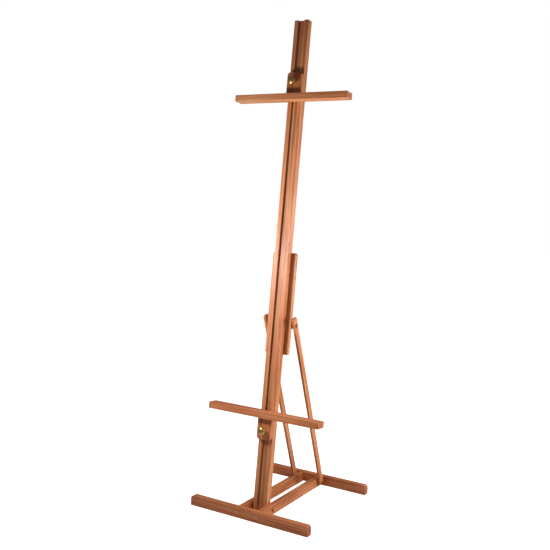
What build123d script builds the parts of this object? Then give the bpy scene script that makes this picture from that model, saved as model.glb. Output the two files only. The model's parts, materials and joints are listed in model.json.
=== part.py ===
from build123d import *

import math
import os

# A single-mast studio easel. +X is to the right, +Y to the rear, +Z up, in millimetres.
# The origin is on the floor under the centre of the base.

# Base: two feet across, joined by two rails on edge.
FOOT_LENGTH = 600
FOOT_HEIGHT = 45
FOOT_THICKNESS = 30
FOOT_CORNER_RADIUS = 14
FOOT_SOLE_RADIUS = 3
BASE_DEPTH = 587
RAIL_THICKNESS = 24
RAIL_SPACING = 98
TIMBER_EDGE_RADIUS = 2
FINE_EDGE_RADIUS = 1.5

# Pivots in the base, at half the height of the rails.
PIVOT_HEIGHT = 22.5
MAST_PIVOT_SETBACK = 117
STRUT_PIVOT_SETBACK = 535

# Mast: one plank with a groove down its front, leaning back.
LEAN = 5
MAST_WIDTH = 70
MAST_DEPTH = 32
MAST_FOOT_RADIUS = 21
MAST_TOP = 2150
GROOVE_WIDTH = 30
GROOVE_DEPTH = 10
KERF_DEPTH = 4
KERF_HEIGHT = 4

# Slotted guide board behind the mast, and the cross bar that is clamped to it.
GUIDE_WIDTH = 122
GUIDE_THICKNESS = 10
GUIDE_BOTTOM = 677
GUIDE_LENGTH = 450
GUIDE_CORNER_RADIUS = 10
SLOT_WIDTH = 7
SLOT_LENGTH = 390
HEAD_RECESS_WIDTH = 14
HEAD_RECESS_DEPTH = 5
GUIDE_SCREW_X = 26
GUIDE_SCREW_MARGIN = 20
GUIDE_SCREW_SHARES = (-1, 0.28, 1)
BAR_POSITION = 809
BAR_HEIGHT = 30
BAR_THICKNESS = 14
BAR_END_GAP = 0.5
BAR_SCREW_DEPTH = 40

# Struts from the rear of the rails up to the ends of the cross bar.
STRUT_THICKNESS = 12
STRUT_WIDTH = 28
STRUT_SPACING = 147
STRUT_PAST_PIVOT = 37
STRUT_TOE_RADIUS = 12
STRUT_TOP_RADIUS = 5
# The upper hole is an open pivot: it is wide enough for the straight-line couplings.
OPEN_HOLE_RADIUS = 5.3
OPEN_HOLE_SHIFT = 1.4

# Tray and top holder: a shelf board and a block clamped to the front of the mast.
SHELF_LENGTH = 562
SHELF_DEPTH = 52
SHELF_THICKNESS = 29
TRAY_POSITION = 400.5
HOLDER_POSITION = 1787
BLOCK_HEIGHT = 98
BLOCK_THICKNESS = 20
BLOCK_CORNER_RADIUS = 12
GUIDE_STRIP_DEPTH = 4.5
GUIDE_STRIP_LENGTH = 96
GUIDE_STRIP_CLEARANCE = 0.8
CLAMP_PLATE_LENGTH = 60
CLAMP_PLATE_CLEARANCE = 0.6
SHELF_SCREW_X = 22.4

# Front knobs: how far each one's axis is from the shelf that its block carries.
KNOB_DISTANCE = 58

# Brass knob, along its own axis from the face that it clamps.
KNOB_RADIUS = 18
KNOB_COLLAR_RADIUS = 7.5
KNOB_NECK_RADIUS = 6
KNOB_START = 1.5
KNOB_COLLAR_END = 5
KNOB_NECK_START = 7
KNOB_NECK_END = 11
KNOB_RIM_START = 16
KNOB_RIM_END = 26
KNOB_CROWN = 32
KNOB_BORE_END = 24
FLUTE_COUNT = 12
FLUTE_RADIUS = 3
FLUTE_CIRCLE_RADIUS = 19.8

# Fasteners.
M6_RADIUS = 3
M8_RADIUS = 4
RUNNING_CLEARANCE = 0.05
HOLE_CLEARANCE = 0.3
FACE_GAP = 0.3
WASHER_THICKNESS = 1.2
WASHER_RADIUS = 10
SMALL_WASHER_RADIUS = 9
DOME_HEIGHT = 4
DOME_RADIUS = 6.5
DOME_ROUNDING = 0.7
NUT_RADIUS = 5.8
NUT_HEIGHT = 5
BOLT_PAST_NUT = 2
PIVOT_HEAD_RADIUS = 9
PIVOT_HEAD_HEIGHT = 5
PIVOT_WASHER_RADIUS = 11
PIVOT_THREAD = 6
CAP_NUT_RADIUS = 7.5
CAP_NUT_HEIGHT = 6.5
CAP_RADIUS = 5.8
CAP_HEIGHT = 5.5
FOOT_BOLT_DEPTH = 58
FOOT_BOLT_HEAD_RADIUS = 7
FOOT_BOLT_HEAD_HEIGHT = 2.4
HEX_SOCKET_RADIUS = 2.8
HEX_SOCKET_DEPTH = 1.8
FRONT_BOLT_HEIGHT = 25
REAR_BOLT_HEIGHT = 34
BARREL_RADIUS = 5
BARREL_LENGTH = 17
BARREL_RECESS = 0.5
BARREL_SETBACK = 50
SCREW_RADIUS = 2
SCREW_HEAD_RADIUS = 4.5
SCREW_HEAD_DEPTH = 2.6
SCREW_SLOT_WIDTH = 1.2
SCREW_SLOT_DEPTH = 1
SCREW_CLEARANCE = 0.1
GUIDE_SCREW_LENGTH = 29
SHELF_SCREW_LENGTH = 53
SCREW_TIP_GAP = 1
BOLT_HEAD_PLAY = 1
# How far a cut runs past the surface that it starts from.
OVERCUT = 1

# Worked out from the driving dimensions.
FRONT_FACE_Y = -BASE_DEPTH / 2
MAST_PIVOT_Y = FRONT_FACE_Y + MAST_PIVOT_SETBACK
STRUT_PIVOT_Y = FRONT_FACE_Y + STRUT_PIVOT_SETBACK
RAIL_LENGTH = BASE_DEPTH - 2 * FOOT_THICKNESS
RAIL_INNER = (RAIL_SPACING - RAIL_THICKNESS) / 2
RAIL_OUTER = (RAIL_SPACING + RAIL_THICKNESS) / 2
STRUT_INNER = (STRUT_SPACING - STRUT_THICKNESS) / 2
STRUT_OUTER = (STRUT_SPACING + STRUT_THICKNESS) / 2
MAST_FRONT = -MAST_DEPTH / 2
MAST_BACK = MAST_DEPTH / 2
GROOVE_FLOOR = MAST_FRONT + GROOVE_DEPTH
GUIDE_BACK = MAST_BACK + GUIDE_THICKNESS
GUIDE_MIDDLE = GUIDE_BOTTOM + GUIDE_LENGTH / 2
BAR_FRONT = GUIDE_BACK + FACE_GAP
BAR_BACK = BAR_FRONT + BAR_THICKNESS
BAR_CENTRE = (BAR_FRONT + BAR_BACK) / 2
BLOCK_BACK = MAST_FRONT - FACE_GAP
BLOCK_FRONT = BLOCK_BACK - BLOCK_THICKNESS
KERF_SPAN = GROOVE_WIDTH + 2 * KERF_DEPTH
KERF_MIDDLE = GROOVE_FLOOR - KERF_HEIGHT / 2

# The mast's own frame: x to the right, y to the rear, z up the mast from its pivot.
MAST_FRAME = Pos(0, MAST_PIVOT_Y, PIVOT_HEIGHT) * Rot(-LEAN, 0, 0)

# The struts' own frame: z runs from the foot pivot to the pivot on the cross bar.
BAR_PIVOT = (MAST_FRAME * Pos(0, BAR_CENTRE, BAR_POSITION)).position
STRUT_RUN = STRUT_PIVOT_Y - BAR_PIVOT.Y
STRUT_RISE = BAR_PIVOT.Z - PIVOT_HEIGHT
STRUT_LENGTH = math.hypot(STRUT_RUN, STRUT_RISE)
STRUT_ANGLE = math.degrees(math.atan2(STRUT_RUN, STRUT_RISE))
STRUT_FRAME = Pos(0, STRUT_PIVOT_Y, PIVOT_HEIGHT) * Rot(STRUT_ANGLE, 0, 0)

SIDES = (-1, 1)
ALONG_X = Rot(0, 90, 0)
ALONG_Y = Rot(-90, 0, 0)
TOWARDS_FRONT = Rot(90, 0, 0)


def rod(radius, start, end):
    """A round bar on the Z axis between two heights."""
    return Pos(0, 0, (start + end) / 2) * Cylinder(radius, end - start)


def ring(inner, outer, start, end):
    """A washer or a spacer on the Z axis."""
    return rod(outer, start, end) - rod(inner, start - OVERCUT, end + OVERCUT)


def dome(radius, start, height):
    """A domed bolt head on the Z axis, flat at its start."""
    head = rod(radius, start, start + height)
    rim = head.edges().filter_by(GeomType.CIRCLE).sort_by(Axis.Z)[-1]
    return fillet(rim, height * DOME_ROUNDING)


def hexagon(radius, start, end):
    """A hexagonal bar on the Z axis, for nuts and sockets."""
    return Pos(0, 0, start) * extrude(RegularPolygon(radius, 6), end - start)


def soft_box(size_x, size_y, size_z, edge_radius):
    """A sawn timber with lightly rounded edges, centred on the origin."""
    timber = Box(size_x, size_y, size_z)
    return fillet(timber.edges(), edge_radius)


def wood_screw(length, clearance=0):
    """A countersunk slotted screw that points down -Z from the surface at z = 0."""
    head = Cone(SCREW_RADIUS + clearance, SCREW_HEAD_RADIUS + clearance, SCREW_HEAD_DEPTH)
    shank = rod(SCREW_RADIUS + clearance, -length - clearance, -SCREW_HEAD_DEPTH)
    return Pos(0, 0, -SCREW_HEAD_DEPTH / 2) * head + shank


def slotted(screw):
    """Cuts the driver slot across a screw head."""
    slot = Box(2 * SCREW_HEAD_RADIUS, SCREW_SLOT_WIDTH, 2 * SCREW_SLOT_DEPTH)
    return screw - slot


def foot():
    """A foot board on edge, centred on x and y, with its upper corners rounded."""
    profile = Pos(0, FOOT_HEIGHT / 2) * Rectangle(FOOT_LENGTH, FOOT_HEIGHT)
    by_height = profile.vertices().sort_by(Axis.Y)
    profile = fillet(by_height[2:], FOOT_CORNER_RADIUS)
    profile = fillet(profile.vertices().sort_by(Axis.Y)[:2], FOOT_SOLE_RADIUS)
    board = extrude(Plane.XZ * profile, FOOT_THICKNESS / 2, both=True)
    return fillet(board.edges().filter_by(Plane.XZ), TIMBER_EDGE_RADIUS)


def foot_bolt_lines(height):
    """Where the two bolts of a foot run, one into the end of each rail."""
    return [Pos(side * RAIL_SPACING / 2, 0, height) for side in SIDES]


def bored_foot(end, bolt_height):
    """A foot at its place, bored for its two bolts; end is -1 at the front and 1 at the rear."""
    board = Pos(0, end * (BASE_DEPTH - FOOT_THICKNESS) / 2, 0) * foot()
    bore = rod(M6_RADIUS + HOLE_CLEARANCE, -OVERCUT, FOOT_THICKNESS + OVERCUT)
    for line in foot_bolt_lines(bolt_height):
        board -= line * Pos(0, end * BASE_DEPTH / 2, 0) * inward_from(end) * bore
    return board


def inward_from(end):
    """Turns a part made along +Z so that it points into the base from its front or rear."""
    return ALONG_Y if end < 0 else TOWARDS_FRONT


def rail(side):
    """A rail on edge, bored for the foot bolts, the barrel nuts and the two pivots."""
    timber = soft_box(RAIL_THICKNESS, RAIL_LENGTH, FOOT_HEIGHT, FINE_EDGE_RADIUS)
    timber = Pos(0, 0, FOOT_HEIGHT / 2) * timber
    bolt_bore = rod(M6_RADIUS + HOLE_CLEARANCE, -OVERCUT, FOOT_BOLT_DEPTH - FOOT_THICKNESS + SCREW_TIP_GAP)
    barrel_bore = rod(BARREL_RADIUS + SCREW_CLEARANCE, -OVERCUT, BARREL_LENGTH + SCREW_TIP_GAP)
    inward = Pos(-side * RAIL_THICKNESS / 2, 0, 0) * Rot(0, side * 90, 0)
    for end, height in ((-1, FRONT_BOLT_HEIGHT), (1, REAR_BOLT_HEIGHT)):
        timber -= Pos(0, end * RAIL_LENGTH / 2, height) * inward_from(end) * bolt_bore
        barrel_y = end * (BASE_DEPTH / 2 - BARREL_SETBACK)
        timber -= Pos(0, barrel_y, height) * inward * barrel_bore
    for pivot_y, radius in ((MAST_PIVOT_Y, M8_RADIUS), (STRUT_PIVOT_Y, M6_RADIUS)):
        across = ALONG_X * rod(radius + RUNNING_CLEARANCE, -RAIL_THICKNESS, RAIL_THICKNESS)
        timber -= Pos(0, pivot_y, PIVOT_HEIGHT) * across
    return Pos(side * RAIL_SPACING / 2, 0, 0) * timber


def foot_bolt():
    """A flat-headed connector bolt with a hexagonal socket, pointing up +Z from the foot."""
    head = rod(FOOT_BOLT_HEAD_RADIUS, -FOOT_BOLT_HEAD_HEIGHT, 0)
    rim = head.edges().filter_by(GeomType.CIRCLE).sort_by(Axis.Z)[0]
    head = fillet(rim, FOOT_BOLT_HEAD_HEIGHT / 2)
    socket_end = HEX_SOCKET_DEPTH - FOOT_BOLT_HEAD_HEIGHT
    head -= hexagon(HEX_SOCKET_RADIUS, -FOOT_BOLT_HEAD_HEIGHT - OVERCUT, socket_end)
    return head + rod(M6_RADIUS, 0, FOOT_BOLT_DEPTH)


def foot_bolts(end, height):
    """The two bolts through one foot; end is -1 at the front and 1 at the rear."""
    bolt = Pos(0, end * BASE_DEPTH / 2, 0) * inward_from(end) * foot_bolt()
    return [line * bolt for line in foot_bolt_lines(height)]


def barrel_nuts():
    """Four cross dowels in the rails, each with a threaded hole for a foot bolt."""
    nuts = []
    for side in SIDES:
        for end, height in ((-1, FRONT_BOLT_HEIGHT), (1, REAR_BOLT_HEIGHT)):
            barrel = ALONG_X * rod(BARREL_RADIUS, BARREL_RECESS, BARREL_LENGTH)
            thread = ALONG_Y * rod(M6_RADIUS + RUNNING_CLEARANCE, -2 * BARREL_RADIUS, 2 * BARREL_RADIUS)
            thread = Pos(RAIL_THICKNESS / 2, 0, 0) * thread
            slot = Pos(BARREL_RECESS, 0, 0) * Box(2 * SCREW_SLOT_DEPTH, SCREW_SLOT_WIDTH, 2 * BARREL_RADIUS)
            nut = barrel - thread - slot
            if side < 0:
                nut = Rot(0, 0, 180) * nut
            place = Pos(side * RAIL_INNER, end * (BASE_DEPTH / 2 - BARREL_SETBACK), height)
            nuts.append(place * nut)
    return nuts


def mast_pivot_place():
    return Pos(0, MAST_PIVOT_Y, PIVOT_HEIGHT) * ALONG_X


def mast_pivot_bolt():
    """The bolt on which the mast tilts, across both rails."""
    seat = RAIL_OUTER + WASHER_THICKNESS
    shank = rod(M8_RADIUS, -seat - PIVOT_THREAD, seat)
    return mast_pivot_place() * (shank + dome(PIVOT_HEAD_RADIUS, seat, PIVOT_HEAD_HEIGHT))


def mast_pivot_nut():
    """A cap nut on the left end of the mast's pivot bolt."""
    seat = RAIL_OUTER + WASHER_THICKNESS
    nut = hexagon(CAP_NUT_RADIUS, 0, CAP_NUT_HEIGHT)
    cap = dome(CAP_RADIUS, PIVOT_THREAD, CAP_HEIGHT)
    blind = rod(M8_RADIUS + RUNNING_CLEARANCE, -OVERCUT, PIVOT_THREAD + RUNNING_CLEARANCE)
    return mast_pivot_place() * Pos(0, 0, -seat) * Rot(180, 0, 0) * (nut + cap - blind)


def mast_pivot_washers():
    """Two washers that centre the mast between the rails, and two under the bolt's ends."""
    gap = RAIL_INNER - MAST_WIDTH / 2
    inner = MAST_WIDTH / 2 + FACE_GAP
    washers = []
    for start, thickness in ((inner, gap - 2 * FACE_GAP), (RAIL_OUTER, WASHER_THICKNESS)):
        for side in SIDES:
            low = min(side * start, side * (start + thickness))
            washer = ring(M8_RADIUS + SCREW_CLEARANCE, PIVOT_WASHER_RADIUS, low, low + thickness)
            washers.append(mast_pivot_place() * washer)
    return washers


def facing_out(side):
    """Turns a part made along +Z so that it points out along +X or -X."""
    return Rot(0, side * 90, 0)


def strut_pivot_bolts():
    """A bolt through each strut's foot and the rail beside it."""
    seat = STRUT_OUTER + FACE_GAP + WASHER_THICKNESS
    bolt = rod(M6_RADIUS, RAIL_INNER - NUT_HEIGHT - BOLT_PAST_NUT, seat)
    bolt += dome(DOME_RADIUS, seat, DOME_HEIGHT)
    place = Pos(0, STRUT_PIVOT_Y, PIVOT_HEIGHT)
    return [place * facing_out(side) * bolt for side in SIDES]


def strut_pivot_nuts():
    nut = hexagon(NUT_RADIUS, RAIL_INNER - NUT_HEIGHT, RAIL_INNER)
    nut -= rod(M6_RADIUS + RUNNING_CLEARANCE, 0, RAIL_OUTER)
    place = Pos(0, STRUT_PIVOT_Y, PIVOT_HEIGHT)
    return [place * facing_out(side) * nut for side in SIDES]


def strut_pivot_spacers():
    """A turned spacer between each rail and its strut, and a washer under each bolt head."""
    bore = M6_RADIUS + SCREW_CLEARANCE
    spacer = ring(bore, WASHER_RADIUS, RAIL_OUTER, STRUT_INNER - FACE_GAP)
    washer_start = STRUT_OUTER + FACE_GAP
    washer = ring(bore, SMALL_WASHER_RADIUS, washer_start, washer_start + WASHER_THICKNESS)
    place = Pos(0, STRUT_PIVOT_Y, PIVOT_HEIGHT)
    return [place * facing_out(side) * piece for side in SIDES for piece in (spacer, washer)]


def strut(side):
    """A slim strut with a rounded toe, a pivot hole below and the open hole above."""
    length = STRUT_LENGTH + STRUT_PAST_PIVOT + STRUT_TOE_RADIUS
    profile = Pos(0, length / 2 - STRUT_TOE_RADIUS) * Rectangle(STRUT_WIDTH, length)
    profile = fillet(profile.vertices().sort_by(Axis.Y)[2:], STRUT_TOP_RADIUS)
    profile = fillet(profile.vertices().sort_by(Axis.Y)[:2], STRUT_TOE_RADIUS)
    slat = extrude(Plane.YZ * profile, STRUT_THICKNESS / 2, both=True)
    slat = fillet(slat.edges().filter_by(Plane.YZ), FINE_EDGE_RADIUS)
    slat -= ALONG_X * rod(M6_RADIUS + RUNNING_CLEARANCE, -STRUT_THICKNESS, STRUT_THICKNESS)
    open_hole = ALONG_X * rod(OPEN_HOLE_RADIUS, -STRUT_THICKNESS, STRUT_THICKNESS)
    slat -= Pos(0, OPEN_HOLE_SHIFT, STRUT_LENGTH) * open_hole
    return STRUT_FRAME * Pos(side * STRUT_SPACING / 2, 0, 0) * slat


def guide_screw_places():
    """Six screws hold the guide board to the walls of the mast, clear of the groove."""
    reach = GUIDE_LENGTH / 2 - GUIDE_SCREW_MARGIN
    heights = [GUIDE_MIDDLE + share * reach for share in GUIDE_SCREW_SHARES]
    return [Pos(side * GUIDE_SCREW_X, GUIDE_BACK, z) * ALONG_Y for side in SIDES for z in heights]


def mast():
    """The grooved mast, bored for the pivot bolt, with its foot rounded about that bolt."""
    section = fillet(Rectangle(MAST_WIDTH, MAST_DEPTH).vertices(), TIMBER_EDGE_RADIUS)
    mouth = Pos(0, MAST_FRONT + GROOVE_DEPTH / 2) * Rectangle(GROOVE_WIDTH, GROOVE_DEPTH)
    kerfs = Pos(0, KERF_MIDDLE) * Rectangle(KERF_SPAN, KERF_HEIGHT)
    section -= mouth
    section -= kerfs
    plank = Pos(0, 0, -MAST_FOOT_RADIUS) * extrude(section, MAST_TOP + MAST_FOOT_RADIUS)
    below_pivot = Pos(0, 0, -MAST_FOOT_RADIUS) * Box(2 * MAST_WIDTH, 2 * MAST_DEPTH, 2 * MAST_FOOT_RADIUS)
    plank -= below_pivot - ALONG_X * rod(MAST_FOOT_RADIUS, -MAST_WIDTH, MAST_WIDTH)
    plank -= ALONG_X * rod(M8_RADIUS + RUNNING_CLEARANCE, -MAST_WIDTH, MAST_WIDTH)
    for place in guide_screw_places():
        plank -= place * wood_screw(GUIDE_SCREW_LENGTH + SCREW_TIP_GAP, SCREW_CLEARANCE)
    return MAST_FRAME * plank


def guide_board():
    """The board behind the mast, with a stepped slot that holds the head of the brace bolt."""
    face = RectangleRounded(GUIDE_WIDTH, GUIDE_LENGTH, GUIDE_CORNER_RADIUS)
    board = extrude(Plane.XZ * face, GUIDE_THICKNESS / 2, both=True)
    board = fillet(board.edges().filter_by(Plane.XZ), FINE_EDGE_RADIUS)
    slot_face = Rot(0, 0, 90) * SlotOverall(SLOT_LENGTH, SLOT_WIDTH)
    board -= extrude(Plane.XZ * slot_face, GUIDE_THICKNESS, both=True)
    recess_face = Rot(0, 0, 90) * SlotOverall(SLOT_LENGTH + HEAD_RECESS_WIDTH, HEAD_RECESS_WIDTH)
    recess = extrude(Plane.XZ * recess_face, HEAD_RECESS_DEPTH, both=True)
    board -= Pos(0, -GUIDE_THICKNESS / 2, 0) * recess
    board = Pos(0, MAST_BACK + GUIDE_THICKNESS / 2, GUIDE_MIDDLE) * board
    for place in guide_screw_places():
        board -= place * wood_screw(GUIDE_SCREW_LENGTH + SCREW_TIP_GAP, SCREW_CLEARANCE)
    return MAST_FRAME * board


def guide_board_screws():
    screw = slotted(wood_screw(GUIDE_SCREW_LENGTH))
    return [MAST_FRAME * place * screw for place in guide_screw_places()]


def cross_bar():
    """The bar between the tops of the struts, clamped to the guide board."""
    half_length = STRUT_INNER - BAR_END_GAP
    bar = soft_box(2 * half_length, BAR_THICKNESS, BAR_HEIGHT, FINE_EDGE_RADIUS)
    bar -= ALONG_Y * rod(M6_RADIUS + HOLE_CLEARANCE, -BAR_THICKNESS, BAR_THICKNESS)
    bore_start = half_length - BAR_SCREW_DEPTH - SCREW_TIP_GAP
    for side in SIDES:
        bar -= facing_out(side) * rod(M6_RADIUS + RUNNING_CLEARANCE, bore_start, half_length + OVERCUT)
    return MAST_FRAME * Pos(0, BAR_CENTRE, BAR_POSITION) * bar


def brace_pivot_screws():
    """The screws in the ends of the cross bar on which the struts turn."""
    half_length = STRUT_INNER - BAR_END_GAP
    seat = STRUT_OUTER + FACE_GAP + WASHER_THICKNESS
    screw = rod(M6_RADIUS, half_length - BAR_SCREW_DEPTH, seat) + dome(DOME_RADIUS, seat, DOME_HEIGHT)
    place = MAST_FRAME * Pos(0, BAR_CENTRE, BAR_POSITION)
    return [place * facing_out(side) * screw for side in SIDES]


def brace_pivot_washers():
    start = STRUT_OUTER + FACE_GAP
    washer = ring(M6_RADIUS + SCREW_CLEARANCE, WASHER_RADIUS, start, start + WASHER_THICKNESS)
    place = MAST_FRAME * Pos(0, BAR_CENTRE, BAR_POSITION)
    return [place * facing_out(side) * washer for side in SIDES]


def brace_bolt():
    """A square-headed bolt that slides in the guide board and pulls the cross bar against it."""
    head_side = HEAD_RECESS_WIDTH - BOLT_HEAD_PLAY
    head_depth = HEAD_RECESS_DEPTH - BOLT_HEAD_PLAY
    head_y = MAST_BACK + HEAD_RECESS_DEPTH / 2
    head = Pos(0, head_y, 0) * Box(head_side, head_depth, head_side)
    tip = BAR_BACK + KNOB_BORE_END - SCREW_TIP_GAP
    shank = ALONG_Y * Rot(180, 0, 0) * rod(M6_RADIUS, -tip, -head_y)
    return MAST_FRAME * Pos(0, 0, BAR_POSITION) * (head + shank)


def knob_turning():
    """A fluted knob, turned about Z, that starts just above the washer that it presses."""
    outline = Polyline(
        (0, KNOB_START),
        (KNOB_COLLAR_RADIUS, KNOB_START),
        (KNOB_COLLAR_RADIUS, KNOB_COLLAR_END),
        (KNOB_NECK_RADIUS, KNOB_NECK_START),
        (KNOB_NECK_RADIUS, KNOB_NECK_END),
        (KNOB_RADIUS, KNOB_RIM_START),
        (KNOB_RADIUS, KNOB_RIM_END),
    )
    rise = KNOB_CROWN - KNOB_RIM_END
    crown_radius = (KNOB_RADIUS**2 + rise**2) / (2 * rise)
    half_angle = math.degrees(math.asin(KNOB_RADIUS / crown_radius))
    crown = CenterArc((0, KNOB_CROWN - crown_radius), crown_radius, 90, -half_angle)
    axis_line = Line((0, KNOB_CROWN), (0, KNOB_START))
    body = revolve(Plane.XZ * make_face(outline + crown + axis_line), Axis.Z)
    for flute in PolarLocations(FLUTE_CIRCLE_RADIUS, FLUTE_COUNT):
        body -= flute * rod(FLUTE_RADIUS, KNOB_NECK_END, KNOB_CROWN)
    return body


def brace_knob():
    """The knob on the end of the brace bolt, behind the cross bar."""
    knob = knob_turning() - rod(M6_RADIUS + RUNNING_CLEARANCE, 0, KNOB_BORE_END)
    return MAST_FRAME * Pos(0, BAR_BACK, BAR_POSITION) * ALONG_Y * knob


def knob_washer():
    return ring(M6_RADIUS + SCREW_CLEARANCE, SMALL_WASHER_RADIUS, 0, WASHER_THICKNESS)


def brace_washer():
    return MAST_FRAME * Pos(0, BAR_BACK, BAR_POSITION) * ALONG_Y * knob_washer()


def shelf_board(bottom):
    """The board of the tray or of the holder, with holes for its two screws."""
    board = soft_box(SHELF_LENGTH, SHELF_DEPTH, SHELF_THICKNESS, TIMBER_EDGE_RADIUS)
    centre_y = BLOCK_BACK - SHELF_DEPTH / 2
    return Pos(0, centre_y, bottom + SHELF_THICKNESS / 2) * board


def shelf_screw_places(head_z, direction):
    """The two screws of a shelf; direction is where the block lies, -1 below or 1 above."""
    turn = Rot(0, 0, 0) if direction < 0 else Rot(180, 0, 0)
    centre_y = BLOCK_BACK - BLOCK_THICKNESS / 2
    return [Pos(side * SHELF_SCREW_X, centre_y, head_z) * turn for side in SIDES]


def clamp_block(direction):
    """The block on the mast, from z = 0 away from its shelf, with its free corners rounded."""
    face = Pos(0, direction * BLOCK_HEIGHT / 2) * Rectangle(MAST_WIDTH, BLOCK_HEIGHT)
    by_height = face.vertices().sort_by(Axis.Y)
    free = by_height[:2] if direction < 0 else by_height[2:]
    face = fillet(free, BLOCK_CORNER_RADIUS)
    block = extrude(Plane.XZ * face, BLOCK_THICKNESS / 2, both=True)
    block = fillet(block.edges().filter_by(Plane.XZ), FINE_EDGE_RADIUS)
    return Pos(0, BLOCK_BACK - BLOCK_THICKNESS / 2, 0) * block


def clamp_strip():
    """The strip on the back of a block that keeps it square in the groove."""
    width = GROOVE_WIDTH - GUIDE_STRIP_CLEARANCE
    return Pos(0, BLOCK_BACK + GUIDE_STRIP_DEPTH / 2, 0) * Box(width, GUIDE_STRIP_DEPTH, GUIDE_STRIP_LENGTH)


def clamp_plate():
    """The steel plate that runs in the kerfs of the groove and takes the knob's thread."""
    width = KERF_SPAN - CLAMP_PLATE_CLEARANCE
    thickness = KERF_HEIGHT - CLAMP_PLATE_CLEARANCE
    return Pos(0, KERF_MIDDLE, 0) * Box(width, thickness, CLAMP_PLATE_LENGTH)


def knob_stud():
    """The threaded stud of a front knob, from inside the knob to the clamp plate."""
    reach = GROOVE_FLOOR - FACE_GAP - BLOCK_FRONT
    return rod(M6_RADIUS, -reach, KNOB_BORE_END)


def stud_bore(knob_z, clearance):
    """The bore for a front knob's stud, right through the block, its strip and its plate."""
    return Pos(0, 0, knob_z) * ALONG_Y * rod(M6_RADIUS + clearance, 2 * BLOCK_FRONT, -2 * BLOCK_FRONT)


def shelf_assembly(name, board_name, bottom, direction):
    """All the pieces of the tray or the holder, by node name."""
    block_end = bottom if direction < 0 else bottom + SHELF_THICKNESS
    head_z = bottom + SHELF_THICKNESS if direction < 0 else bottom
    knob_z = block_end + direction * KNOB_DISTANCE
    strip_z = block_end + direction * BLOCK_HEIGHT / 2
    loose_bore = stud_bore(knob_z, HOLE_CLEARANCE)
    close_bore = stud_bore(knob_z, RUNNING_CLEARANCE)
    board = shelf_board(bottom)
    block = Pos(0, 0, block_end) * clamp_block(direction) - loose_bore
    for place in shelf_screw_places(head_z, direction):
        pocket = place * wood_screw(SHELF_SCREW_LENGTH + SCREW_TIP_GAP, SCREW_CLEARANCE)
        board -= pocket
        block -= pocket
    screw = slotted(wood_screw(SHELF_SCREW_LENGTH))
    screws = [place * screw for place in shelf_screw_places(head_z, direction)]
    knob_place = Pos(0, BLOCK_FRONT, knob_z) * TOWARDS_FRONT
    knob = knob_turning() - rod(M6_RADIUS, 0, KNOB_BORE_END)
    pieces = {
        board_name: board,
        f"{name}_block": block,
        f"{name}_guide_strip": Pos(0, 0, strip_z) * clamp_strip() - loose_bore,
        f"{name}_clamp_plate": Pos(0, 0, knob_z) * clamp_plate() - close_bore,
        f"{name}_screws": screws,
        f"{name}_knob_washer": knob_place * knob_washer(),
        f"{name}_knob": knob_place * knob,
        f"{name}_knob_stud": knob_place * knob_stud(),
    }
    return {node: placed(MAST_FRAME, piece) for node, piece in pieces.items()}


def placed(frame, piece):
    """Moves one solid, or each solid of a list, into a frame."""
    if isinstance(piece, list):
        return [frame * solid for solid in piece]
    return frame * piece


def all_nodes():
    nodes = {
        "front_foot": bored_foot(-1, FRONT_BOLT_HEIGHT),
        "rear_foot": bored_foot(1, REAR_BOLT_HEIGHT),
        "left_rail": rail(-1),
        "right_rail": rail(1),
        "front_foot_bolts": foot_bolts(-1, FRONT_BOLT_HEIGHT),
        "rear_foot_bolts": foot_bolts(1, REAR_BOLT_HEIGHT),
        "barrel_nuts": barrel_nuts(),
        "mast_pivot_bolt": mast_pivot_bolt(),
        "mast_pivot_nut": mast_pivot_nut(),
        "mast_pivot_washers": mast_pivot_washers(),
        "strut_pivot_bolts": strut_pivot_bolts(),
        "strut_pivot_nuts": strut_pivot_nuts(),
        "strut_pivot_spacers": strut_pivot_spacers(),
        "left_strut": strut(-1),
        "right_strut": strut(1),
        "mast": mast(),
        "guide_board": guide_board(),
        "guide_board_screws": guide_board_screws(),
        "cross_bar": cross_bar(),
        "brace_pivot_screws": brace_pivot_screws(),
        "brace_pivot_washers": brace_pivot_washers(),
        "brace_bolt": brace_bolt(),
        "brace_washer": brace_washer(),
        "brace_knob": brace_knob(),
    }
    nodes.update(shelf_assembly("tray", "tray_board", TRAY_POSITION, -1))
    nodes.update(shelf_assembly("holder", "holder_bar", HOLDER_POSITION, 1))
    return nodes


os.makedirs("parts", exist_ok=True)
for node_name, shape in all_nodes().items():
    if isinstance(shape, list):
        shape = Compound(children=[Solid(solid.solid().wrapped) for solid in shape])
    export_step(shape, f"parts/{node_name}.step")
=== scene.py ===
import json
import math

import bmesh
import bpy
from mathutils import Matrix, Vector


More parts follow.
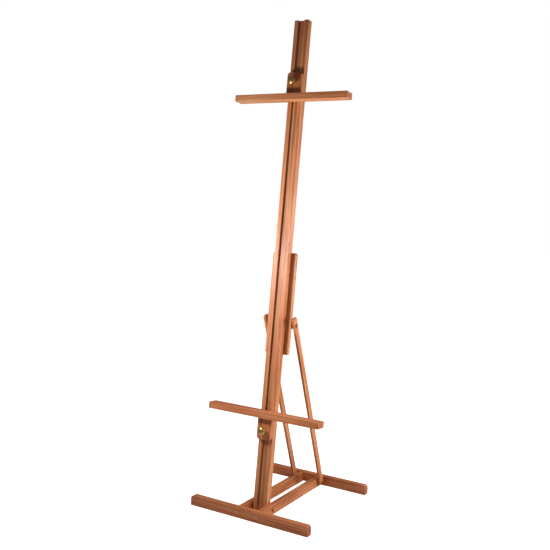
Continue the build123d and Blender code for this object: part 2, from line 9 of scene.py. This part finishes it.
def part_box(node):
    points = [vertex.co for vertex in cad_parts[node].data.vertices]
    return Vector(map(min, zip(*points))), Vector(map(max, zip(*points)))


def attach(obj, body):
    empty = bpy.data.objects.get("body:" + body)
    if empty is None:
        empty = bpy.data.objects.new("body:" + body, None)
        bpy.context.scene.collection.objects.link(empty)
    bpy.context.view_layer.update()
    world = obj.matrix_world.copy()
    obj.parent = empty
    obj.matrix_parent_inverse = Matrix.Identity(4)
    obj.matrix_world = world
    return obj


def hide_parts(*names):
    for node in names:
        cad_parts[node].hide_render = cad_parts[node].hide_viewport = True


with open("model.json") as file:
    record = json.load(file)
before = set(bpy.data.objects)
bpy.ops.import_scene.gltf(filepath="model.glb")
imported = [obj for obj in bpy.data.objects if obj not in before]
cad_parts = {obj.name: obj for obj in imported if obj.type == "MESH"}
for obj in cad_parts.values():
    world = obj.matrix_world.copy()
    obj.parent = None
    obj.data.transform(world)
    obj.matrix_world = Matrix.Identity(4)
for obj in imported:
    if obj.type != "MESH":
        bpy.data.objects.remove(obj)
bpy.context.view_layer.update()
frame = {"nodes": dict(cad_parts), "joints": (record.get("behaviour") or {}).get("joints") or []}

# A single-mast studio easel in oiled beech. +X is to the right, +Y to the rear, +Z up, in metres.

MM = 0.001
JOINTS = {joint["name"]: joint for joint in frame["joints"]}
RIGHT, REAR, UP = Vector((1, 0, 0)), Vector((0, 1, 0)), Vector((0, 0, 1))

# Camera: where it stands, where it looks and how its picture is framed.
CAMERA_PLACE = Vector((1.7024, -2.9063, 1.3308))
CAMERA_AZIMUTH = math.radians(28.57)
CAMERA_PITCH = math.radians(4.47)
CAMERA_ROLL = math.radians(2.54)
CAMERA_LENS = 48.99
CAMERA_SENSOR = 36
CAMERA_SHIFT = (-0.0727, -0.0091)

# Knob: radius and height above the face that it clamps, in millimetres, along the outline from its bore
# to its crown.
KNOB_PROFILE = [
    (3.1, 1.5), (6.8, 1.5), (7.4, 1.8), (7.5, 2.3), (7.5, 2.8), (7.2, 3.0), (7.2, 3.4), (7.5, 3.6),
    (7.5, 4.3), (7.3, 4.9), (6.5, 6.0), (6.1, 6.8), (6.0, 7.6), (6.0, 10.2), (6.2, 10.9), (6.9, 11.5),
    (11.6, 13.3), (16.3, 15.3), (17.4, 15.9), (17.9, 16.7), (18.0, 17.6), (18.0, 21.0), (18.0, 24.6),
    (17.8, 25.3), (17.1, 26.0), (16.2, 26.6),
]
CROWN_CENTRE_HEIGHT = 2.0
CROWN_RADIUS = 30.0
CROWN_RINGS = 24
CROWN_GROOVE_RADIUS = 10.8
CROWN_GROOVE_HALF_WIDTH = 0.7
CROWN_GROOVE_DEPTH = 0.4
FLUTE_COUNT = 12
FLUTE_SEGMENTS = 16
FLUTE_START = 11
FLUTE_RADIUS = 3.0
FLUTE_CIRCLE_RADIUS = 19.8

# Studio: the floor's reach, how bright it and the backdrop look, how much they give back, and how finely
# the floor is divided.
FLOOR_REACH = 30
FLOOR_GLOW = 1.0
FLOOR_BOUNCE = 0.06
BACKDROP_GLOW = 1.0
AMBIENT = 0.14
FLOOR_DIVISIONS = 24

# Beech: the width of a year's ring and the wave of the rings, in millimetres.
RING_WIDTH = 3.4
RING_WANDER = 16.0
RING_RIPPLE = 1.6
# Where rubbed edges fade in, how far oil soaks into the ends, and where a hollow's painted shade starts,
# in millimetres.
WORN_WIDTHS = (2.6, 0.5)
SOAKED_DEPTH = 16.0
PAINTED_SHADE_DEPTHS = (5.0, 8.0)
# The colours of the wood from its darkest tone to its palest, and the shades laid over them.
BEECH_TONES = [
    (0.00, (0.185, 0.046, 0.009)),
    (0.28, (0.355, 0.102, 0.022)),
    (0.52, (0.525, 0.178, 0.052)),
    (0.76, (0.670, 0.282, 0.112)),
    (1.00, (0.800, 0.415, 0.195)),
]
BLUSH_SHADE = (1.0, 0.76, 0.86, 1)
FLECK_SHADE = (0.50, 0.36, 0.27, 1)
PORE_SHADE = (0.42, 0.30, 0.22, 1)
END_GRAIN_SHADE = (0.66, 0.56, 0.48, 1)
# Painted shade: multiplies the wood darker deep inside a hollow, such as the mast's groove, where shade
# falls.
PAINTED_HOLLOW_SHADE = (0.84, 0.84, 0.88, 1)
WORN_COLOUR = (0.78, 0.47, 0.26, 1)
# The oil's refraction, and the height of the grain's relief in millimetres.
BEECH_IOR = 1.46
BEECH_BUMP = 0.22

# Turned brass: its colours, what tarnish and rubbing turn them into, and the marks of the lathe.
BRASS_TONES = [(0.25, (0.58, 0.34, 0.095)), (0.55, (0.72, 0.45, 0.145)), (0.85, (0.82, 0.56, 0.22))]
TARNISHED = (0.36, 0.21, 0.065, 1)
RUBBED = (0.88, 0.64, 0.30, 1)
TOOL_RINGS_PER_MM = 5.5
BRASS_BUMP = 0.04

# Plated steel: the dark, pale and bloomed colours of its two finishes, and the height of its scratches.
NICKELLED_TONES = ((0.46, 0.24, 0.15), (0.70, 0.42, 0.29), (0.52, 0.27, 0.15))
BRONZED_TONES = ((0.36, 0.13, 0.045), (0.60, 0.26, 0.11), (0.50, 0.19, 0.07))
STEEL_BUMP = 0.05

# Name, place, aim, size, power and colour of each light.
LIGHTS = [
    ("key", (-0.42, -0.84, 1.18), (0, -0.1, 1.1), 0.26, 11, (0.96, 0.98, 1.0)),
    ("front_right", (1.0, -0.75, 1.15), (0, 0, 1.0), 0.5, 1.7, (0.96, 0.98, 1.0)),
    ("right", (1.35, 0.30, 1.00), (0, 0, 1.0), 0.6, 21, (0.96, 0.98, 1.0)),
    ("back", (1.1, 2.0, 1.30), (0, 0, 1.0), 0.9, 14, (1.0, 0.99, 0.97)),
]


# Frames


def axes_frame(origin, x_axis, z_axis):
    """The matrix of a frame from its origin, its x axis and its z axis."""
    x, z = Vector(x_axis).normalized(), Vector(z_axis).normalized()
    rotation = Matrix((x, z.cross(x), z)).transposed()
    return Matrix.Translation(origin) @ rotation.to_4x4()


def turning_frame(joint):
    """The frame of a knob's joint: z runs along its axis, away from the face that it clamps."""
    return axes_frame(JOINTS[joint]["pos_m"], RIGHT, JOINTS[joint]["axis"])


def middle(node):
    low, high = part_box(node)
    return (low + high) / 2


MAST_UP = Vector(JOINTS["tray_slide"]["axis"])
STRUT_FOOT = Vector(JOINTS["left_strut_swing"]["pos_m"])
STRUT_UP = middle("cross_bar") - Vector((0, STRUT_FOOT.y, STRUT_FOOT.z))
STRUT_UP.x = 0

# Grain frames: z runs along the fibres, and x across the piece.
ALONG_FEET = axes_frame((0, 0, 0), REAR, RIGHT)
ALONG_RAILS = axes_frame((0, 0, 0), RIGHT, REAR)
ALONG_MAST = axes_frame((0, 0, 0), RIGHT, MAST_UP)
ALONG_STRUTS = axes_frame((0, 0, 0), RIGHT, STRUT_UP)
ALONG_SHELVES = axes_frame((0, 0, 0), RIGHT.cross(MAST_UP), RIGHT)


# Node graphs

# A Mix node has sockets of the same names for each kind of value, so its colour sockets go by number.
MIX_COLOUR_INPUTS = (0, 6, 7)
MIX_COLOUR_OUTPUT = 2


class Graph:
    """Adds nodes to a node tree and links their inputs."""

    def __init__(self, tree):
        self.tree = tree

    def add(self, kind, *inputs, **settings):
        node = self.tree.nodes.new(kind)
        for name, value in settings.items():
            setattr(node, name, value)
        for socket, value in inputs:
            self.feed(node.inputs[socket], value)
        return node

    def feed(self, socket, value):
        if isinstance(value, bpy.types.NodeSocket):
            self.tree.links.new(value, socket)
        else:
            socket.default_value = value

    def math(self, operation, a, b=0.0, c=0.0):
        node = self.add("ShaderNodeMath", (0, a), (1, b), (2, c), operation=operation)
        return node.outputs[0]

    def vector(self, operation, a, b=(0, 0, 0)):
        node = self.add("ShaderNodeVectorMath", (0, a), (1, b), operation=operation)
        return node.outputs[0]

    def length(self, a):
        node = self.add("ShaderNodeVectorMath", (0, a), operation="LENGTH")
        return node.outputs["Value"]

    def axis(self, vector, index):
        return self.add("ShaderNodeSeparateXYZ", (0, vector)).outputs[index]

    def noise(self, place, detail=2.0, roughness=0.5, distortion=0.0):
        """Noise with about one feature per unit of the place."""
        node = self.add(
            "ShaderNodeTexNoise", ("Vector", place), ("Scale", 1.0), ("Detail", detail),
            ("Roughness", roughness), ("Distortion", distortion),
        )
        return node.outputs[0]

    def step(self, value, start, end, low=0.0, high=1.0):
        """A smooth step from low to high as the value goes from start to end."""
        node = self.add(
            "ShaderNodeMapRange", ("Value", value), ("From Min", start), ("From Max", end),
            ("To Min", low), ("To Max", high), interpolation_type="SMOOTHSTEP",
        )
        return node.outputs[0]

    def ramp(self, value, stops):
        node = self.add("ShaderNodeValToRGB", (0, value))
        elements = node.color_ramp.elements
        while len(elements) < len(stops):
            elements.new(0.5)
        for element, (position, colour) in zip(elements, stops):
            element.position = position
            element.color = (*colour, 1)
        return node.outputs[0]

    def mix(self, factor, a, b, blend="MIX"):
        node = self.tree.nodes.new("ShaderNodeMix")
        node.data_type = "RGBA"
        node.blend_type = blend
        node.clamp_factor = True
        for index, value in zip(MIX_COLOUR_INPUTS, (factor, a, b)):
            self.feed(node.inputs[index], value)
        return node.outputs[MIX_COLOUR_OUTPUT]


def new_group(name, inputs, outputs):
    """A node group with the named sockets, given as (name, type) pairs."""
    tree = bpy.data.node_groups.new(name, "ShaderNodeTree")
    for direction, sockets in (("INPUT", inputs), ("OUTPUT", outputs)):
        for socket_name, kind in sockets:
            tree.interface.new_socket(socket_name, in_out=direction, socket_type=f"NodeSocket{kind}")
    graph = Graph(tree)
    source = graph.add("NodeGroupInput")
    sink = graph.add("NodeGroupOutput")
    return graph, source.outputs, sink.inputs


def shaded_material(name, constants):
    """A material with a principled shader whose constant sockets are set on the shader itself."""
    material = bpy.data.materials.new(name)
    material.use_nodes = True
    tree = material.node_tree
    shader = tree.nodes["Principled BSDF"]
    for socket, value in constants.items():
        shader.inputs[socket].default_value = value
    return material, Graph(tree), shader


def local_place(graph, matrix, centre):
    """Where a point of the surface is in a piece's own frame, in millimetres, and its normal there."""
    coordinates = graph.add("ShaderNodeTexCoord")
    turn = matrix.to_euler()
    place = graph.add(
        "ShaderNodeMapping", ("Vector", coordinates.outputs["Object"]), ("Location", centre),
        ("Rotation", turn), ("Scale", (MM, MM, MM)), vector_type="TEXTURE",
    )
    normal = graph.add(
        "ShaderNodeMapping", ("Vector", coordinates.outputs["Normal"]), ("Rotation", turn),
        vector_type="TEXTURE",
    )
    return place.outputs[0], normal.outputs[0]


def finish_surface(graph, shader, colour, roughness, height, strength, distance):
    """Feeds a shader its colour and roughness, and a bump whose distance is in millimetres."""
    bump = graph.add(
        "ShaderNodeBump", ("Height", height), ("Strength", strength), ("Distance", distance * MM),
    )
    graph.feed(shader.inputs["Base Color"], colour)
    graph.feed(shader.inputs["Roughness"], roughness)
    graph.feed(shader.inputs["Normal"], bump.outputs[0])


def finish_with(obj, material):
    """Gives every part of an object one material."""
    obj.data.materials.clear()
    obj.data.materials.append(material)


# Oiled beech


def timber_group():
    """Beech with growth rings, fibres, ray flecks, end grain, worn edges and hand-rubbed oil, and painted
    shade in its hollows.
    """
    graph, given, out = new_group(
        "oiled beech",
        [("Place", "Vector"), ("Normal", "Vector"), ("Half", "Vector"), ("Seed", "Vector"),
         ("Pith", "Vector"), ("Tone", "Float"), ("Red", "Float")],
        [("Colour", "Color"), ("Roughness", "Float"), ("Height", "Float")],
    )
    place = given["Place"]
    seeded = graph.vector("ADD", place, given["Seed"])

    def stretched(across, along, offset=0.0):
        """The place with features about across wide and along long, in millimetres."""
        scale = (1 / across, 1 / across, 1 / along)
        scaled = graph.vector("MULTIPLY", seeded, scale)
        return graph.vector("ADD", scaled, (offset, offset, offset))

    wave = graph.noise(stretched(55, 420), 1.0)
    wander = graph.math("MULTIPLY_ADD", wave, RING_WANDER, -RING_WANDER / 2)
    wavelet = graph.noise(stretched(7, 60, 5.0), 2.0)
    ripple = graph.math("MULTIPLY_ADD", wavelet, RING_RIPPLE, -RING_RIPPLE / 2)
    offset = graph.vector("SUBTRACT", place, given["Pith"])
    flat = graph.vector("MULTIPLY", offset, (1, 1, 0))
    radius = graph.math("ADD", graph.math("ADD", graph.length(flat), wander), ripple)
    years = graph.math("DIVIDE", radius, RING_WIDTH)
    latewood = graph.step(graph.math("FRACT", years), 0.45, 0.97)
    ring_number = graph.math("FLOOR", years)
    year = graph.add("ShaderNodeTexWhiteNoise", ("W", ring_number), noise_dimensions="1D").outputs[0]

    fibre = graph.noise(stretched(0.55, 26), 3.0, 0.6)
    strand = graph.noise(stretched(2.4, 120, 11.0), 2.0)
    band = graph.noise(stretched(11, 420, 23.0), 2.0, 0.55)
    drift = graph.noise(stretched(48, 230, 37.0), 1.5)

    flecks = graph.add(
        "ShaderNodeTexVoronoi", ("Vector", stretched(1.1, 4.2, 3.0)), ("Scale", 1.0), ("Randomness", 1.0),
        feature="F1", distance="EUCLIDEAN",
    )
    chance = graph.add("ShaderNodeSeparateColor", (0, flecks.outputs["Color"])).outputs[0]
    fleck = graph.step(flecks.outputs["Distance"], 0.42, 0.2)
    fleck = graph.math("MULTIPLY", fleck, graph.step(chance, 0.62, 0.72))
    pores = graph.step(graph.noise(stretched(0.32, 3.2, 17.0), 2.0, 0.7), 0.62, 0.72)

    end = graph.step(graph.math("ABSOLUTE", graph.axis(given["Normal"], 2)), 0.6, 0.92)
    side = graph.math("SUBTRACT", 1.0, end)

    gap = graph.vector("SUBTRACT", given["Half"], graph.vector("ABSOLUTE", place))
    nearest = graph.math("MINIMUM", graph.axis(gap, 0), graph.axis(gap, 1))
    furthest = graph.math("MAXIMUM", graph.axis(gap, 0), graph.axis(gap, 1))
    to_end = graph.axis(gap, 2)
    edge = graph.math("MAXIMUM", nearest, graph.math("MINIMUM", furthest, to_end))
    rub = graph.noise(stretched(6, 28, 41.0), 3.0, 0.65)
    worn = graph.math("MULTIPLY", graph.step(edge, *WORN_WIDTHS), graph.step(rub, 0.38, 0.62))
    soaked = graph.step(to_end, SOAKED_DEPTH, 0.0)
    # Painted shade mask: rises where the surface lies deeper than 5 to 8 mm inside the piece's box, in
    # hollows such as the groove.
    painted_hollow_shade = graph.step(graph.math("MINIMUM", nearest, to_end), *PAINTED_SHADE_DEPTHS)

    tone = graph.math("MULTIPLY_ADD", band, 0.95, -0.475)
    for value, share in (
        (drift, 0.55), (strand, 0.34), (fibre, 0.22), (year, 0.12), (latewood, -0.16), (soaked, -0.10),
    ):
        tone = graph.math("ADD", tone, graph.math("MULTIPLY", value, share))
    tone = graph.math("ADD", tone, graph.math("SUBTRACT", given["Tone"], 0.03))
    colour = graph.ramp(tone, BEECH_TONES)
    rose = graph.noise(stretched(16, 260, 71.0), 2.0)
    blush = graph.math("MULTIPLY", graph.step(rose, 0.40, 0.66), 0.75)
    blush = graph.math("ADD", blush, given["Red"])
    colour = graph.mix(blush, colour, BLUSH_SHADE, "MULTIPLY")
    flecked = graph.math("MULTIPLY", graph.math("MULTIPLY", fleck, side), 0.42)
    colour = graph.mix(flecked, colour, FLECK_SHADE, "MULTIPLY")
    colour = graph.mix(graph.math("MULTIPLY", pores, 0.45), colour, PORE_SHADE, "MULTIPLY")
    colour = graph.mix(graph.math("MULTIPLY", end, 0.5), colour, END_GRAIN_SHADE, "MULTIPLY")
    colour = graph.mix(graph.math("MULTIPLY", worn, 0.34), colour, WORN_COLOUR)
    # Painted shade laid over the wood in its hollows.
    colour = graph.mix(painted_hollow_shade, colour, PAINTED_HOLLOW_SHADE, "MULTIPLY")

    smudge = graph.noise(stretched(26, 40, 53.0), 2.0, 0.6)
    roughness = graph.math("MULTIPLY_ADD", smudge, 0.20, 0.38)
    roughness = graph.math("ADD", roughness, graph.math("MULTIPLY", fibre, 0.10))
    roughness = graph.math("ADD", roughness, graph.math("MULTIPLY", end, 0.18))
    roughness = graph.math("SUBTRACT", roughness, graph.math("MULTIPLY", worn, 0.08))

    planed = graph.noise(stretched(34, 150, 61.0), 1.0)
    height = graph.math("MULTIPLY", planed, 0.9)
    for value, share in ((fibre, 0.28), (strand, 0.30), (latewood, 0.10), (pores, -0.30), (fleck, -0.08)):
        height = graph.math("ADD", height, graph.math("MULTIPLY", value, share))
    for name, value in (("Colour", colour), ("Roughness", roughness), ("Height", height)):
        graph.feed(out[name], value)
    return graph.tree


def local_box(obj, matrix):
    """The middle of a mesh in the row frame and its half sizes along a frame's axes, in metres."""
    to_local = matrix.inverted()
    corners = [to_local @ vertex.co for vertex in obj.data.vertices]
    low = Vector(map(min, zip(*corners)))
    high = Vector(map(max, zip(*corners)))
    return matrix @ ((low + high) / 2), (high - low) / 2


def timber_material(obj, matrix, number, tone, red, pith):
    """The beech of one piece, cut from its own part of the tree."""
    material, graph, shader = shaded_material(f"beech_{obj.name}", {
        "IOR": BEECH_IOR, "Specular IOR Level": 0.44,
        "Coat Weight": 0.06, "Coat Roughness": 0.30, "Coat IOR": BEECH_IOR,
    })
    centre, half = local_box(obj, matrix)
    place, normal = local_place(graph, matrix, centre)
    seed = Vector((number * 173.0, number * 61.0, number * 911.0))
    beech = graph.add("ShaderNodeGroup", node_tree=BEECH)
    for name, value in (
        ("Place", place), ("Normal", normal), ("Half", half / MM), ("Seed", seed), ("Pith", pith),
        ("Tone", tone), ("Red", red),
    ):
        graph.feed(beech.inputs[name], value)
    finish_surface(graph, shader, *beech.outputs[:3], 0.55, BEECH_BUMP)
    return material


# Metals


def turned_brass(name, matrix):
    """Lathe-turned brass: fine rings from the tool, handling marks, and tarnish away from the edges."""
    material, graph, shader = shaded_material(name, {
        "Metallic": 1.0, "Anisotropic": 0.35, "Coat Weight": 0.08, "Coat Roughness": 0.2,
    })
    place, _ = local_place(graph, matrix, matrix.translation)
    flat = graph.vector("MULTIPLY", place, (1, 1, 0))
    reach = graph.math("ADD", graph.length(flat), graph.axis(place, 2))
    turning = graph.add(
        "ShaderNodeTexNoise", ("W", graph.math("MULTIPLY", reach, TOOL_RINGS_PER_MM)), ("Detail", 2.0),
        noise_dimensions="1D",
    ).outputs[0]
    cloud = graph.noise(graph.vector("MULTIPLY", place, (0.16, 0.16, 0.16)), 4.0, 0.6)
    scratch = graph.noise(graph.vector("MULTIPLY", place, (2.6, 0.35, 1.4)), 3.0, 0.7, 0.8)
    convex = graph.add("ShaderNodeNewGeometry").outputs["Pointiness"]
    rubbed = graph.step(convex, 0.49, 0.56)
    tarnish = graph.math("SUBTRACT", graph.step(cloud, 0.40, 0.72), rubbed)
    bright = graph.ramp(cloud, BRASS_TONES)
    colour = graph.mix(graph.math("MULTIPLY", tarnish, 0.7), bright, TARNISHED)
    colour = graph.mix(graph.math("MULTIPLY", rubbed, 0.45), colour, RUBBED)
    roughness = graph.math("MULTIPLY_ADD", cloud, 0.26, 0.17)
    roughness = graph.math("ADD", roughness, graph.math("MULTIPLY", turning, 0.10))
    height = graph.math("MULTIPLY_ADD", scratch, 0.5, turning)
    finish_surface(graph, shader, colour, roughness, height, 0.30, BRASS_BUMP)
    return material


def plated_steel(name, dark, pale, bloomed):
    """Plated steel, mottled from dark to pale, with a bloom of a third colour and fine scratches."""
    material, graph, shader = shaded_material(name, {"Metallic": 1.0, "Anisotropic": 0.15})
    coordinates = graph.add("ShaderNodeTexCoord").outputs["Object"]
    mottle = graph.noise(graph.vector("MULTIPLY", coordinates, (240, 240, 240)), 4.0, 0.62)
    scratch = graph.noise(graph.vector("MULTIPLY", coordinates, (2400, 500, 1700)), 2.0, 0.7, 1.2)
    bloom = graph.noise(graph.vector("MULTIPLY", coordinates, (60, 60, 60)), 1.0)
    colour = graph.ramp(mottle, [(0.30, dark), (0.80, pale)])
    colour = graph.mix(graph.step(bloom, 0.45, 0.75, 0.0, 0.5), colour, (*bloomed, 1))
    roughness = graph.math("MULTIPLY_ADD", mottle, 0.25, 0.18)
    roughness = graph.math("ADD", roughness, graph.math("MULTIPLY", scratch, 0.10))
    finish_surface(graph, shader, colour, roughness, scratch, 0.25, STEEL_BUMP)
    return material


# Turned knobs


def flute_limit(angle):
    """The radius at which a flute cuts the rim, or None between two flutes, in millimetres."""
    pitch = math.tau / FLUTE_COUNT
    off_centre = (angle + pitch / 2) % pitch - pitch / 2
    reach = FLUTE_CIRCLE_RADIUS * math.sin(off_centre)
    if abs(reach) >= FLUTE_RADIUS:
        return None
    return FLUTE_CIRCLE_RADIUS * math.cos(off_centre) - math.sqrt(FLUTE_RADIUS**2 - reach**2)


def crown_profile():
    """The domed end of a knob from its rim to its middle, with one turned groove."""
    rim_radius = KNOB_PROFILE[-1][0]
    points = []
    for step in range(1, CROWN_RINGS):
        radius = rim_radius * (1 - step / CROWN_RINGS)
        height = CROWN_CENTRE_HEIGHT + math.sqrt(CROWN_RADIUS**2 - radius**2)
        if abs(radius - CROWN_GROOVE_RADIUS) < CROWN_GROOVE_HALF_WIDTH:
            height -= CROWN_GROOVE_DEPTH
        points.append((radius, height))
    return points


def turned_knob(body):
    """A fluted brass knob on a knob's body, in place of its plainer node of the same name."""
    name = f"{body}_turned"
    turning = turning_frame(f"{body}_turn")
    mesh = bmesh.new()
    segments = FLUTE_COUNT * FLUTE_SEGMENTS
    rings = []
    for radius, height in KNOB_PROFILE + crown_profile():
        ring = []
        for segment in range(segments):
            angle = math.tau * segment / segments
            limit = flute_limit(angle)
            reach = radius if limit is None or height < FLUTE_START else min(radius, limit)
            point = Vector((reach * math.cos(angle), reach * math.sin(angle), height)) * MM
            ring.append(mesh.verts.new(turning @ point))
        rings.append(ring)
    for lower, upper in zip(rings, rings[1:]):
        for i in range(segments):
            j = (i + 1) % segments
            mesh.faces.new((lower[i], lower[j], upper[j], upper[i]))
    top = Vector((0, 0, CROWN_CENTRE_HEIGHT + CROWN_RADIUS)) * MM
    tip = mesh.verts.new(turning @ top)
    for i in range(segments):
        mesh.faces.new((rings[-1][i], rings[-1][(i + 1) % segments], tip))
    mesh.faces.new(reversed(rings[0]))
    bmesh.ops.recalc_face_normals(mesh, faces=mesh.faces)
    knob = new_piece(name, mesh)
    finish_with(knob, turned_brass(f"brass_{name}", turning))
    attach(knob, body)
    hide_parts(body)


def new_piece(name, mesh):
    """Turns a bmesh into a smooth-shaded object of the scene."""
    data = bpy.data.meshes.new(name)
    mesh.to_mesh(data)
    mesh.free()
    data.shade_smooth()
    piece = bpy.data.objects.new(name, data)
    bpy.context.scene.collection.objects.link(piece)
    return piece


# Studio


def pale_floor():
    """A wide pale floor, a little uneven in tone, which glows just enough to stay white."""
    mesh = bmesh.new()
    bmesh.ops.create_grid(mesh, x_segments=FLOOR_DIVISIONS, y_segments=FLOOR_DIVISIONS, size=FLOOR_REACH)
    floor = new_piece("floor", mesh)
    material, graph, shader = shaded_material("pale_floor", {
        "Specular IOR Level": 0.1, "Emission Color": (1, 1, 1, 1),
    })
    cloud = graph.noise(graph.add("ShaderNodeTexCoord").outputs["Object"], 4.0, 0.6)
    graph.feed(shader.inputs["Base Color"], graph.ramp(cloud, [
        (0.3, (0.80, 0.80, 0.80)), (0.7, (0.84, 0.84, 0.84)),
    ]))
    graph.feed(shader.inputs["Roughness"], graph.step(cloud, 0.3, 0.7, 0.75, 0.9))
    seen = graph.add("ShaderNodeLightPath").outputs["Is Camera Ray"]
    graph.feed(shader.inputs["Emission Strength"], graph.step(seen, 0.0, 1.0, FLOOR_BOUNCE, FLOOR_GLOW))
    finish_with(floor, material)


def soft_light(name, place, aim, size, power, colour):
    light = bpy.data.lights.new(name, "AREA")
    light.shape = "DISK"
    light.size = size
    light.energy = power
    light.color = colour
    lamp = bpy.data.objects.new(name, light)
    lamp.location = place
    direction = Vector(aim) - Vector(place)
    lamp.rotation_euler = direction.to_track_quat("-Z", "Y").to_euler()
    bpy.context.scene.collection.objects.link(lamp)


def studio_world():
    """A white backdrop that gives a little even light from all round."""
    world = bpy.data.worlds.new("studio")
    world.use_nodes = True
    background = world.node_tree.nodes["Background"]
    graph = Graph(world.node_tree)
    seen = graph.add("ShaderNodeLightPath").outputs["Is Camera Ray"]
    graph.feed(background.inputs["Color"], (1, 1, 1, 1))
    graph.feed(background.inputs["Strength"], graph.step(seen, 0.0, 1.0, AMBIENT, BACKDROP_GLOW))
    bpy.context.scene.world = world


def camera():
    """The camera at the picture's viewing angle, with its small roll."""
    right = Vector((math.cos(CAMERA_AZIMUTH), math.sin(CAMERA_AZIMUTH), 0))
    level = UP.cross(right)
    ahead = level * math.cos(CAMERA_PITCH) - UP * math.sin(CAMERA_PITCH)
    up = right.cross(ahead)
    turn = Matrix.Rotation(-CAMERA_ROLL, 3, ahead)
    right, up = turn @ right, turn @ up
    rotation = Matrix((right, up, -ahead)).transposed()
    data = bpy.data.cameras.new("camera")
    data.lens = CAMERA_LENS
    data.sensor_width = CAMERA_SENSOR
    data.shift_x, data.shift_y = CAMERA_SHIFT
    viewer = bpy.data.objects.new("camera", data)
    viewer.matrix_world = Matrix.Translation(CAMERA_PLACE) @ rotation.to_4x4()
    bpy.context.scene.collection.objects.link(viewer)
    bpy.context.scene.camera = viewer


# The easel

BEECH = timber_group()

# Grain frame, tone and redness of each timber, and where the pith of its log lay, in millimetres.
TIMBERS = {
    "front_foot": (ALONG_FEET, -0.03, 0.16, (38, -20, 0)),
    "rear_foot": (ALONG_FEET, -0.02, 0.16, (-30, 44, 0)),
    "left_rail": (ALONG_RAILS, -0.06, 0.12, (52, 14, 0)),
    "right_rail": (ALONG_RAILS, -0.06, 0.12, (-47, 25, 0)),
    "mast": (ALONG_MAST, 0.07, 0.00, (24, 75, 0)),
    "guide_board": (ALONG_MAST, 0.08, 0.10, (-35, -60, 0)),
    "left_strut": (ALONG_STRUTS, 0.00, 0.05, (40, 33, 0)),
    "right_strut": (ALONG_STRUTS, 0.02, 0.05, (-44, -12, 0)),
    "cross_bar": (ALONG_SHELVES, -0.02, 0.10, (30, 30, 0)),
    "tray_board": (ALONG_SHELVES, 0.06, 0.05, (31, 58, 0)),
    "tray_block": (ALONG_MAST, 0.06, 0.00, (-20, 90, 0)),
    "tray_guide_strip": (ALONG_MAST, 0.00, 0.10, (60, 10, 0)),
    # The holder bar's tone is raised to stand in for front light that it lacks at its height: painted
    # light.
    "holder_bar": (ALONG_SHELVES, 0.20, 0.05, (-25, 66, 0)),
    "holder_block": (ALONG_MAST, -0.04, 0.10, (45, 60, 0)),
    "holder_guide_strip": (ALONG_MAST, 0.00, 0.10, (10, 70, 0)),
}
BRASS_NODES = {
    "tray_knob_stud": "tray_knob_turn",
    "tray_knob_washer": "tray_knob_turn",
    "holder_knob_stud": "holder_knob_turn",
    "holder_knob_washer": "holder_knob_turn",
    "brace_washer": "brace_knob_turn",
}
NICKELLED_NODES = ("front_foot_bolts", "rear_foot_bolts", "tray_screws", "holder_screws")

for number, (node, (matrix, tone, red, pith)) in enumerate(TIMBERS.items(), start=1):
    timber = frame["nodes"][node]
    finish_with(timber, timber_material(timber, matrix, number, tone, red, pith))

for node, joint in BRASS_NODES.items():
    finish_with(frame["nodes"][node], turned_brass(f"brass_{node}", turning_frame(joint)))

for knob_body in ("tray_knob", "holder_knob", "brace_knob"):
    turned_knob(knob_body)

nickelled = plated_steel("nickelled_steel", *NICKELLED_TONES)
bronzed = plated_steel("bronzed_steel", *BRONZED_TONES)
for node, obj in frame["nodes"].items():
    if node not in TIMBERS and node not in BRASS_NODES:
        finish_with(obj, nickelled if node in NICKELLED_NODES else bronzed)

pale_floor()
studio_world()
camera()
for light in LIGHTS:
    soft_light(*light)

bpy.context.scene.view_settings.view_transform = "Standard"
bpy.context.scene.cycles.use_denoising = True
